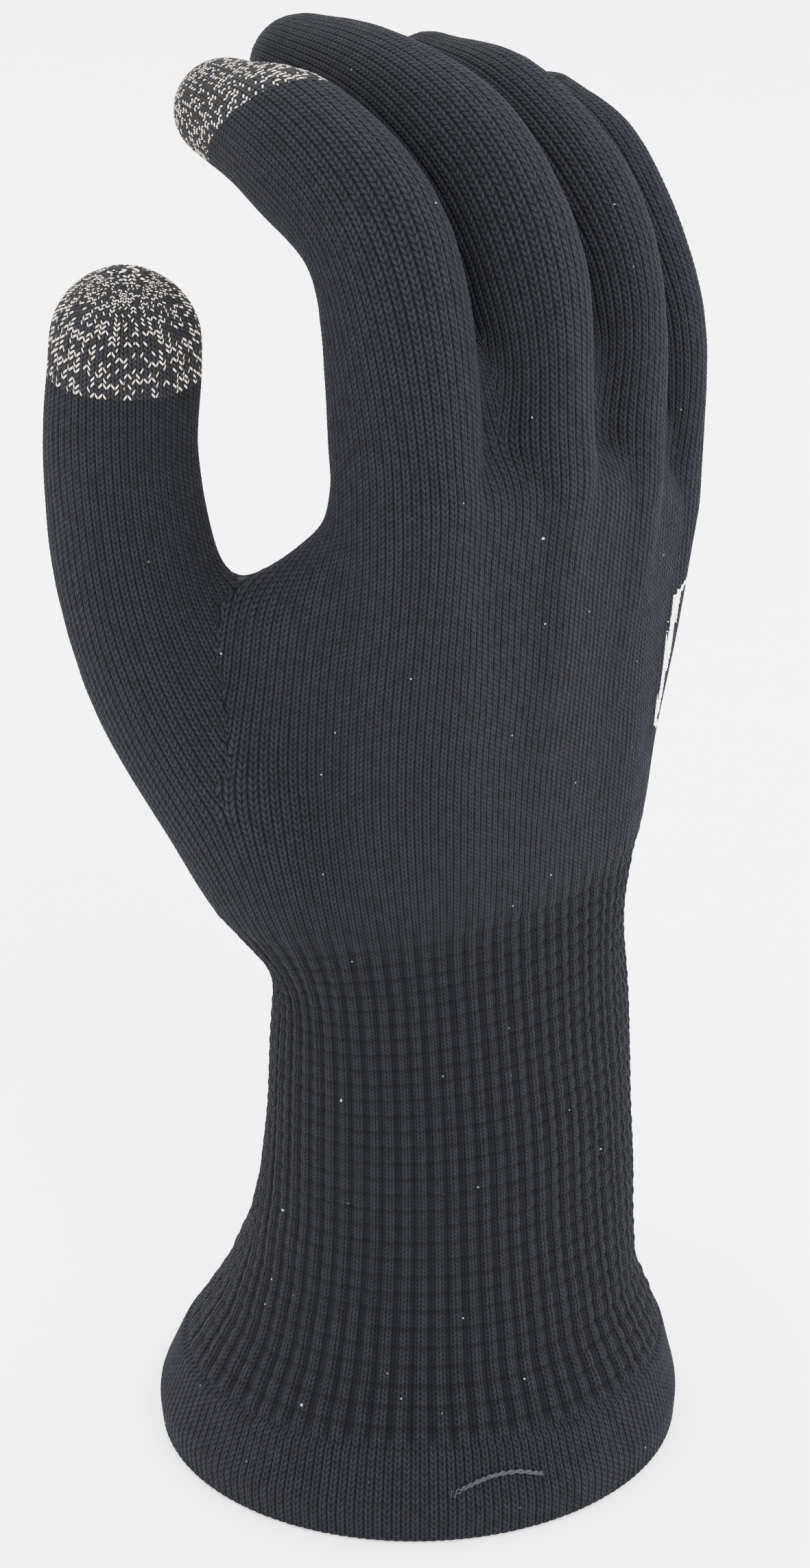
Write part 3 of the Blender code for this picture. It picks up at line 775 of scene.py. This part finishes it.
def cad_nodes():
    """For every region of the skin, the CAD nodes that it stands for."""
    made = {"welt": ("welt_outer", "welt_inner"), "rib": ("rib_cuff",), "wrist": ("wrist_rib",),
            "hand": ("palm_shell", "thumb_web", "thumb_base"), "knuckle": ("knuckle_ring",),
            "finger_bases": ("knuckle_shell",) + tuple(name + "_lower" for name in HAND)}
    for name in HAND:
        made[name + "_mid"] = (name + "_bend", name + "_upper")
        made[name + "_tip"] = (name + "_endbend", name + ("_distal" if name == "index" else "_tip"))
    made["thumb_mid"] = ("thumb_bend", "thumb_lower")
    made["thumb_tip"] = ("thumb_endbend", "thumb_distal")
    for cap in ("thumb", "index"):
        made[cap + "_cap"] = (cap + "_touch_cap",)
    made["print"] = ("print_badge",)
    return made


STANDS_FOR = cad_nodes()
REGIONS = tuple(STANDS_FOR)
CODE = {name: k for k, name in enumerate(REGIONS)}


def regions(points, label):
    """Region code of every point, whose borders lie where a bend begins or has ended."""
    z = points[:, 2]
    code = np.full(len(points), CODE["hand"])
    knuckle = share(points, "knuckle")
    thumb = (label == 4) & (share(points, "thumb_mid") > 0) & (z > 130)
    code[(knuckle >= 0) & ~thumb] = CODE["knuckle"]
    code[(knuckle >= 1) & ~thumb] = CODE["finger_bases"]
    for k, name in enumerate(HAND):
        mine = (label == k) & (knuckle >= 1) & (share(points, name + "_mid") >= 0)
        code[mine] = CODE[name + "_mid"]
        code[mine & (share(points, name + "_tip") >= 0)] = CODE[name + "_tip"]
    code[thumb] = CODE["thumb_mid"]
    tip = thumb & (share(points, "thumb_tip") >= 0)
    code[tip] = CODE["thumb_tip"]
    for name in ("thumb", "index"):
        c = CHAIN[name]
        far = (points - c[2]) @ (along(c[2], c[3]) + np.array(CAP_LEAN[name])) > CAP_START[name]
        code[far & (code == CODE[name + "_tip"])] = CODE[name + "_cap"]
    code[z < WRIST_ZONE[1]] = CODE["wrist"]
    code[z < WRIST_ZONE[0]] = CODE["rib"]
    code[z < WELT_TOP] = CODE["welt"]
    return code


def badge_mask(points, normal):
    """A plain printed frame with three bars and a dot on the little finger's edge of the hand."""
    lo, hi = (np.array(corner) * 1000 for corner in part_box("print_badge"))
    middle = (lo + hi) / 2
    wide, tall = BADGE_WIDTH / 2, BADGE_HEIGHT / 2
    a = (points[:, 1] - middle[1]) / wide
    b = (points[:, 2] - middle[2]) / tall
    side = (normal[:, 0] > 0.1) & (points[:, 0] > middle[0] - 14)
    past_a = np.abs(a) * wide - (wide - BADGE_CORNER)
    past_b = np.abs(b) * tall - (tall - BADGE_CORNER)
    inside = np.minimum(np.maximum(past_a, past_b), 0)
    edge = np.hypot(np.maximum(past_a, 0), np.maximum(past_b, 0)) + inside - BADGE_CORNER
    ink = np.abs(edge + BADGE_INSET) < BADGE_LINE
    for height, reach in BADGE_BARS:
        ink |= (np.abs(b - height) * tall < BADGE_BAR) & (np.abs(a) < reach)
    height, radius = BADGE_DOT
    ink |= np.hypot(a * wide, (b - height) * tall) < radius
    return side & ink


# ---- materials ----
# dark end of the knit's colour: painted shade in the hollows and between the wales, and darker fibres
WOOL_DARK_FIBRE_AND_SHADE = (0.0002, 0.0002, 0.0003)
WOOL_LIGHT = (0.0070, 0.0071, 0.0096)
LINT = (0.35, 0.37, 0.41)
# dark end of the touch yarn: painted shade in the hollows and darker fibres; TOUCH_SHADE is painted shade
# on the edges of the pale legs
TOUCH_DARK_FIBRE_AND_SHADE = (0.0005, 0.0005, 0.0007)
TOUCH_LIGHT = (0.010, 0.010, 0.012)
TOUCH_SHADE = (0.004, 0.004, 0.005)
TOUCH_PALE = (0.46, 0.42, 0.35)
INK_THIN = (0.02, 0.02, 0.026)
INK = (0.82, 0.82, 0.80)


class Shade:
    """A material with a Principled BSDF and short calls for its nodes."""

    def __init__(self, name, rough, sheen, tint, bump):
        self.mat = bpy.data.materials.new(name)
        self.mat.use_nodes = True
        self.tree = self.mat.node_tree
        self.bsdf = self.tree.nodes["Principled BSDF"]
        for key, value in (("Roughness", rough), ("Sheen Weight", sheen), ("Sheen Roughness", 0.45),
                           ("Sheen Tint", (*tint, 1.0)), ("Specular IOR Level", 0.08)):
            self.put(self.bsdf, key, value)
        self.bump = bump

    def new(self, kind):
        return self.tree.nodes.new("ShaderNode" + kind)

    def link(self, source, socket):
        self.tree.links.new(source, socket)

    def put(self, node, key, value):
        if isinstance(value, bpy.types.NodeSocket):
            self.link(value, node.inputs[key])
        elif value is not None:
            node.inputs[key].default_value = value

    def math(self, operation, a, b=None, c=None, clamp=False):
        node = self.new("Math")
        node.operation = operation
        node.use_clamp = clamp
        for key, value in enumerate((a, b, c)):
            self.put(node, key, value)
        return node.outputs[0]

    def times(self, a, b, clamp=False):
        return self.math("MULTIPLY", a, b, clamp=clamp)

    def mix(self, factor, a, b):
        node = self.new("Mix")
        node.data_type = "RGBA"
        self.put(node, 0, factor)
        self.put(node, 6, a)
        self.put(node, 7, b)
        return node.outputs[2]

    def ramp(self, value, low, high, to_low=0.0, to_high=1.0):
        node = self.new("MapRange")
        node.interpolation_type = "SMOOTHSTEP"
        sockets = ("Value", "From Min", "From Max", "To Min", "To Max")
        for key, item in zip(sockets, (value, low, high, to_low, to_high)):
            self.put(node, key, item)
        return node.outputs[0]

    def texture(self, kind, scale):
        """A texture in the object's own space."""
        node = self.new("Tex" + kind)
        self.put(node, "Vector", self.new("TexCoord").outputs["Object"])
        self.put(node, "Scale", scale)
        return node

    def noise(self, scale, detail=3.0, rough=0.6):
        node = self.texture("Noise", scale)
        self.put(node, "Detail", detail)
        self.put(node, "Roughness", rough)
        return node.outputs["Fac"]

    def speck(self, scale, size, chance):
        """White lint: one small blob in some of the cells of a Voronoi pattern."""
        node = self.texture("Voronoi", scale)
        near = self.ramp(node.outputs["Distance"], size * 0.6, size, 1.0, 0.0)
        split = self.new("SeparateColor")
        self.link(node.outputs["Color"], split.inputs[0])
        some = self.math("GREATER_THAN", split.outputs[0], 1.0 - chance)
        return self.times(near, some)

    def knit_coordinates(self):
        """Wale number and course at every point."""
        uv = self.new("UVMap")
        uv.uv_map = "knit"
        split = self.new("SeparateXYZ")
        self.link(uv.outputs[0], split.inputs[0])
        return split.outputs[0], split.outputs[1]

    def stitch(self):
        """The shape of the legs. It leaves the coordinates that made it on the material."""
        self.wale, self.course = self.knit_coordinates()
        self.centred = self.math("SUBTRACT", self.math("FRACT", self.wale), 0.5)
        self.across = self.math("ABSOLUTE", self.centred)
        self.leg_course = self.math("SUBTRACT", self.course, self.times(self.across, LEG_SLANT))
        away = self.times(self.math("SUBTRACT", self.across, 0.25), 4.0)
        self.leg = self.math("SUBTRACT", 1.0, self.times(away, away))
        self.yarn = self.math("ABSOLUTE", self.math("SINE", self.times(self.leg_course, math.pi)))
        round_leg = self.math("POWER", self.math("MAXIMUM", self.leg, 0.0), 0.6)
        return self.times(round_leg, self.math("POWER", self.yarn, 0.55))

    def finish(self, colour, height):
        node = self.new("Bump")
        for key, value in (("Strength", 1.0), ("Distance", self.bump), ("Height", height)):
            self.put(node, key, value)
        self.put(self.bsdf, "Base Color", colour)
        self.put(self.bsdf, "Normal", node.outputs[0])
        return self.mat


def rgb(*values):
    return (*values, 1.0)


def knit_material(name, ribbed=False):
    """Charcoal knit with painted shade between the wales and in the hollows of the stitches, so the raised
    fuzzy legs look paler, random darker and lighter fibres, and some white lint. Ribbed, it also gets the
    painted shade of rib_shade.
    """
    s = Shade(name, 0.95, 0.008, (0.72, 0.8, 1.0), 0.00024)
    shape = s.stitch()
    fuzz = s.noise(3200.0, 4.0, 0.7)
    heather = s.noise(620.0, 2.0, 0.5)
    # painted shade: darker towards the edges of each wale, in the gutter between the wales
    gutter_shade = s.ramp(s.across, 0.34, 0.5, 1.0, 0.25)
    # painted shade: darker where the stitch relief is low
    tone = s.times(s.ramp(shape, 0.1, 0.85), gutter_shade)
    tone = s.times(tone, s.ramp(fuzz, 0.25, 0.75, 0.55, 1.25))
    tone = s.times(tone, s.ramp(heather, 0.3, 0.7, 0.75, 1.2), clamp=True)
    if ribbed:
        tone = s.times(tone, rib_shade(s))
    colour = s.mix(tone, rgb(*WOOL_DARK_FIBRE_AND_SHADE), rgb(*WOOL_LIGHT))
    lint = s.math("MAXIMUM", s.speck(95.0, 0.030, 0.55), s.speck(260.0, 0.045, 0.25))
    colour = s.mix(s.times(lint, 0.6), colour, rgb(*LINT))
    return s.finish(colour, s.math("ADD", shape, s.times(fuzz, 0.55)))


def rib_shade(s):
    """Less light between the ribs and in the waffle's grooves, as far as the mesh says it is ribbed."""
    ridge = s.math("SINE", s.times(s.wale, 2 * math.pi * RIBS_PER_WALE))
    groove = s.math("ABSOLUTE", s.math("SINE", s.times(s.course, math.pi / WAFFLE_COURSES)))
    share = s.new("Attribute")
    share.attribute_name = "rib"
    lit = s.times(s.ramp(ridge, -0.9, 0.2, 0.4, 1.0), s.ramp(groove, 0.0, 0.5, 0.55, 1.0))
    dark = s.times(s.math("SUBTRACT", 1.0, lit), share.outputs["Fac"])
    return s.math("SUBTRACT", 1.0, dark)


def touch_material(name):
    """Conductive yarn: the same dark knit with pale legs scattered through it, with painted shade in the
    hollows of the stitches and on the edges of the pale legs.
    """
    s = Shade(name, 0.85, 0.012, (0.9, 0.88, 0.85), 0.00022)
    shape = s.stitch()
    key = s.new("CombineXYZ")
    s.link(s.math("FLOOR", s.wale), key.inputs[0])
    s.link(s.math("FLOOR", s.leg_course), key.inputs[1])
    s.link(s.math("SIGN", s.centred), key.inputs[2])
    chance = s.new("TexWhiteNoise")
    chance.noise_dimensions = "3D"
    s.link(key.outputs[0], chance.inputs["Vector"])
    pale = s.math("GREATER_THAN", chance.outputs["Value"], 0.58)
    fuzz = s.noise(3000.0, 4.0, 0.7)
    # painted shade: darker where the stitch relief is low
    body = s.times(s.ramp(shape, 0.25, 0.8), s.ramp(fuzz, 0.25, 0.75, 0.5, 1.1), clamp=True)
    plain = s.mix(body, rgb(*TOUCH_DARK_FIBRE_AND_SHADE), rgb(*TOUCH_LIGHT))
    # painted shade: the pale legs are pale along the middle of their crests and darken to TOUCH_SHADE at
    # their edges
    core = s.times(s.ramp(s.yarn, 0.66, 0.9), s.ramp(s.leg, 0.3, 0.75))
    bright = s.mix(core, rgb(*TOUCH_SHADE), rgb(*TOUCH_PALE))
    return s.finish(s.mix(pale, plain, bright), s.math("ADD", shape, s.times(fuzz, 0.5)))


def print_material():
    """Pale ink that lies on the raised stitches and misses the grooves."""
    s = Shade("print_ink", 0.55, 0.05, (1.0, 1.0, 1.0), 0.00014)
    shape = s.stitch()
    fuzz = s.noise(2600.0, 3.0, 0.6)
    high = s.ramp(shape, 0.05, 0.5, 0.35, 1.0)
    cover = s.times(high, s.ramp(fuzz, 0.2, 0.5, 0.7, 1.0), clamp=True)
    return s.finish(s.mix(cover, rgb(*INK_THIN), rgb(*INK)), shape)


def lining_material():
    """The knit's purl side, seen inside the cuff, with painted shade in the hollows of the purl ridges."""
    s = Shade("knit_lining", 0.95, 0.04, (0.75, 0.8, 1.0), 0.00025)
    wale, course = s.knit_coordinates()
    wave = s.math("SINE", s.times(wale, 2 * math.pi))
    row = s.times(course, 2 * math.pi)
    purl = s.math("SINE", s.math("ADD", row, s.times(wave, 1.1)))
    fuzz = s.noise(2800.0, 3.0, 0.65)
    # painted shade: darker in the hollows of the purl ridges
    tone = s.times(s.ramp(purl, -0.8, 0.9), s.ramp(fuzz, 0.25, 0.75, 0.6, 1.2), clamp=True)
    return s.finish(s.mix(tone, rgb(0.0003, 0.0003, 0.0005), rgb(0.006, 0.0062, 0.008)),
                    s.math("ADD", purl, s.times(fuzz, 0.8)))


def yarn_material():
    s = Shade("yarn_strand", 0.9, 0.08, (0.75, 0.8, 1.0), 0.00012)
    fuzz = s.noise(4200.0, 4.0, 0.7)
    return s.finish(s.mix(s.ramp(fuzz, 0.3, 0.7), rgb(0.006, 0.006, 0.008), rgb(0.03, 0.031, 0.036)), fuzz)


def floor_material():
    s = Shade("studio_floor", 0.9, 0.0, (1.0, 1.0, 1.0), 0.0001)
    grain = s.noise(30.0, 2.0)
    return s.finish(s.mix(grain, rgb(0.90, 0.90, 0.90), rgb(0.93, 0.93, 0.93)), grain)


# ---- pieces ----
def shown(name, data):
    """A new object in the scene."""
    obj = bpy.data.objects.new(name, data)
    bpy.context.scene.collection.objects.link(obj)
    return obj


def make_piece(name, co, faces, normals, uv, material):
    """A mesh object in metres, with its own part of the skin's shared normals and knit coordinates."""
    keep, inverse = np.unique(faces, return_inverse=True)
    local = inverse.reshape(faces.shape).astype(np.int32)
    me = bpy.data.meshes.new(name)
    me.vertices.add(len(keep))
    me.vertices.foreach_set("co", (co[keep] * 0.001).astype(np.float32).ravel())
    me.loops.add(local.size)
    me.loops.foreach_set("vertex_index", local.ravel())
    me.polygons.add(len(local))
    me.polygons.foreach_set("loop_start", np.arange(0, local.size, 3, dtype=np.int32))
    me.update(calc_edges=True)
    me.validate()
    me.polygons.foreach_set("use_smooth", np.ones(len(me.polygons), bool))
    if uv is not None:
        layer = me.uv_layers.new(name="knit")
        layer.data.foreach_set("uv", uv.astype(np.float32).ravel())
    if normals is not None:
        me.normals_split_custom_set_from_vertices(normals[keep].astype(np.float32))
    ribbed = me.attributes.new("rib", "FLOAT", "POINT")
    ribbed.data.foreach_set("value", rib_share(co[keep]).astype(np.float32))
    me.materials.append(material)
    return shown(name, me)


RIDES = {"welt": "cuff", "rib": "cuff", "hand": "hand", "finger_bases": "knuckles", "print": "hand"}
PIECES_ROUND = {"welt": 4, "rib": 6, "wrist": 2, "hand": 8, "knuckle": 3, "finger_bases": 3}


def slot_of(region):
    """The main node of a region: the last one of a bending stretch, else the first."""
    return STANDS_FOR[region][-1 if region.endswith(("_mid", "_tip")) else 0]


def attach(obj, region):
    """Moves a piece with its body, or else bakes its transform into its mesh."""
    zone = {"thumb_cap": "thumb_tip", "index_cap": "index_tip"}.get(region, region)
    if region in RIDES:
        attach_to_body(obj, RIDES[region])
    else:
        a, b, start, end = ZONE[zone]
        tuple(np.asarray(start) * 0.001)
        tuple(np.asarray(end) * 0.001)
        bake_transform(obj)
    slot_of(region)


def skin_pieces(co, faces, uv, code, looks):
    normals = vertex_normals(co, faces)
    middle = co[faces].mean(1)
    for k, region in enumerate(REGIONS):
        mine = code == k
        parts = PIECES_ROUND.get(region, 1)
        centre = middle[mine].mean(0)
        turn = np.arctan2(middle[:, 1] - centre[1], middle[:, 0] - centre[0])
        sector = np.floor((turn / (2 * math.pi) + 0.5) * parts).clip(0, parts - 1)
        for part in range(parts):
            chosen = mine & (sector == part)
            name = region + "_skin" + (f"_{part + 1}" if parts > 1 else "")
            obj = make_piece(name, co, faces[chosen], normals, uv[chosen], looks[region])
            attach(obj, region)
            if part == 0:
                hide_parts(*STANDS_FOR[region])


def lining_pieces(net, v, wales, look):
    """The inside of the glove, a wall's thickness in from the skin and joined to it at the hem."""
    fold = np.clip((HEM_ROUND - net.co[:, 2]) / HEM_ROUND, 0.0, 1.0)
    depth = WALL * (0.5 + 0.5 * np.sqrt(1.0 - fold ** 2))
    co = net.co - net.normal * depth[:, None]
    co[:, 2] = np.maximum(co[:, 2], 0.0)
    faces = net.tris[:, ::-1]
    uv = np.stack([wales, v[net.tris] * COURSES_PER_WALE], 2)[:, ::-1]
    middle = net.co[net.tris].mean(1)
    code = regions(middle, nearest_stall(middle))
    code[code == CODE["thumb_cap"]] = CODE["thumb_tip"]
    code[code == CODE["index_cap"]] = CODE["index_tip"]
    code[code == CODE["rib"]] = CODE["welt"]
    normals = vertex_normals(co, faces)
    for k in np.unique(code):
        chosen = code == k
        region = REGIONS[k]
        name = {"welt": "cuff"}.get(region, region) + "_lining"
        obj = make_piece(name, co, faces[chosen], normals, uv[chosen], look)
        attach(obj, region)


YARN_RINGS = 90
YARN_SIDES = 8
YARN_TURNS = 7
PLY_APART = 0.19
PLY_FRAY = 0.4
PLY_RADIUS = 0.2
PLY_TAPER = 0.1


def yarn_path():
    """Centre line of the loose end, from the CAD node's own vertices, root first."""
    points = node_points("yarn_tail")
    middle = points.mean(0)
    axis = np.linalg.svd(points - middle, full_matrices=False)[2][0]
    t = (points - middle) @ axis
    marks = np.linspace(t.min(), t.max(), 9)
    line = [points[np.abs(t - m) <= (marks[1] - marks[0]) * 0.9].mean(0) for m in marks]
    return np.array(line)


def yarn_plies():
    """(centre line, radii, side, up) of two plies twisted round each other, with a frayed tip."""
    line = yarn_path()
    at = np.linspace(0, len(line) - 1, YARN_RINGS)
    path = np.stack([np.interp(at, np.arange(len(line)), line[:, a]) for a in range(3)], 1)
    for _ in range(6):
        path[1:-1] = (path[:-2] + path[1:-1] * 2 + path[2:]) / 4
    tangent = np.gradient(path, axis=0)
    tangent /= np.linalg.norm(tangent, axis=1)[:, None]
    side = np.cross(tangent, np.array([0.0, 0.0, 1.0]))
    side /= np.linalg.norm(side, axis=1)[:, None]
    up = np.cross(side, tangent)
    ring = np.arange(YARN_RINGS)
    for ply in range(2):
        turn = np.linspace(0, 2 * math.pi * YARN_TURNS, YARN_RINGS) + math.pi * ply
        apart = PLY_APART + PLY_FRAY * smoothstep(70, 89, ring)
        centre = path + (side * np.cos(turn)[:, None] + up * np.sin(turn)[:, None]) * apart[:, None]
        yield centre, PLY_RADIUS - PLY_TAPER * smoothstep(60, 89, ring), side, up


def closed_tube(centre, radius, side, up):
    """Rings of vertices round a line, closed by a point at each end, and the faces between them."""
    turn = np.linspace(0, 2 * math.pi, YARN_SIDES, endpoint=False)
    spoke = side[:, None] * np.cos(turn)[None, :, None] + up[:, None] * np.sin(turn)[None, :, None]
    rows = centre[:, None] + spoke * radius[:, None, None]
    verts = np.concatenate([rows.reshape(-1, 3), centre[[0, -1]]])
    last = (YARN_RINGS - 1) * YARN_SIDES
    end = YARN_RINGS * YARN_SIDES
    faces = []
    for q in range(YARN_SIDES):
        after = (q + 1) % YARN_SIDES
        for row in range(0, last, YARN_SIDES):
            a, b = row + q, row + after
            faces += [(a, b, b + YARN_SIDES), (a, b + YARN_SIDES, a + YARN_SIDES)]
        faces += [(after, q, end), (last + q, last + after, end + 1)]
    return verts, np.array(faces)


def yarn_piece(look):
    """The loose end of the yarn."""
    tubes = [closed_tube(*ply) for ply in yarn_plies()]
    verts = np.concatenate([tube[0] for tube in tubes])
    faces = np.concatenate([tube[1] + k * len(tube[0]) for k, tube in enumerate(tubes)])
    obj = make_piece("yarn_end", verts, faces, None, None, look)
    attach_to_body(obj, "cuff")
    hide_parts("yarn_tail")


# ---- studio ----
AIM = (0.003996, 0.00165, 0.1188)
CAMERA_BACK = (-0.6556, -0.6556, 0.3746)
CAMERA_AWAY = 0.65
LENS = 89.68
WORLD_LIGHT = 6.0
FLOOR_RADIUS = 3.0


def camera():
    data = bpy.data.cameras.new("camera")
    data.lens = LENS
    data.sensor_width = 36.0
    data.clip_start = 0.01
    data.clip_end = 20.0
    obj = shown("camera", data)
    back = Vector(CAMERA_BACK).normalized()
    obj.location = Vector(AIM) + back * CAMERA_AWAY
    obj.rotation_mode = "QUATERNION"
    obj.rotation_quaternion = (-back).to_track_quat("-Z", "Y")
    bpy.context.scene.camera = obj


def lamp(name, place, size, power, colour=(1.0, 1.0, 1.0)):
    data = bpy.data.lights.new(name, "AREA")
    data.size = size
    data.energy = power
    data.color = colour
    obj = shown(name, data)
    obj.location = place
    obj.rotation_euler = (Vector(AIM) - Vector(place)).to_track_quat("-Z", "Y").to_euler()


def world():
    made = bpy.data.worlds.new("studio")
    made.use_nodes = True
    sky = made.node_tree.nodes["Background"]
    sky.inputs[0].default_value = (1.0, 1.0, 1.0, 1.0)
    sky.inputs[1].default_value = WORLD_LIGHT
    bpy.context.scene.world = made


def floor():
    bm = bmesh.new()
    bmesh.ops.create_circle(bm, cap_ends=True, segments=96, radius=FLOOR_RADIUS)
    me = bpy.data.meshes.new("floor")
    bm.to_mesh(me)
    bm.free()
    me.materials.append(floor_material())
    shown("floor", me)


def studio():
    lamp("key", (-0.5, -1.0, 0.9), 0.5, 30.0)
    lamp("fill", (-1.1, -0.1, 0.5), 0.8, 8.0)
    lamp("edge", (0.9, -0.3, 0.8), 0.5, 10.0, (0.93, 0.96, 1.0))
    lamp("back", (0.2, 1.1, 0.9), 0.8, 8.0)
    world()
    floor()


def looks_by_region():
    """The material of every region's skin."""
    knit = knit_material("knit_wool")
    rib = knit_material("rib_wool", ribbed=True)
    touch = touch_material("touch_yarn")
    looks = {name: knit for name in REGIONS}
    looks["welt"] = knit_material("welt_wool")
    looks.update({name: rib for name in ("rib", "wrist", "hand")})
    looks.update({name: touch for name in ("thumb_cap", "index_cap")})
    looks["print"] = print_material()
    return looks


def glove():
    """The whole visual model, from the base skin to the yarn end."""
    co, tris, rim = base_skin()
    net = Net(co, tris)
    source = knit_sources(net)
    busy = source != 0
    v = potential(net, source, rim)
    u = conjugate(net, v, busy)
    wales, size = corner_wales(net, v, u, busy)
    fine, faces, uv, parent = fine_skin(net, v, wales, size)
    middle = fine[faces].mean(1)
    code = regions(middle, nearest_stall(net.co[net.tris].mean(1))[parent])
    printed = badge_mask(middle, net.face_normal[parent]) & (code == CODE["hand"])
    code[printed] = CODE["print"]
    skin_pieces(fine, faces, uv, code, looks_by_region())
    lining_pieces(net, v, wales, lining_material())
    yarn_piece(yarn_material())


glove()
camera()
studio()
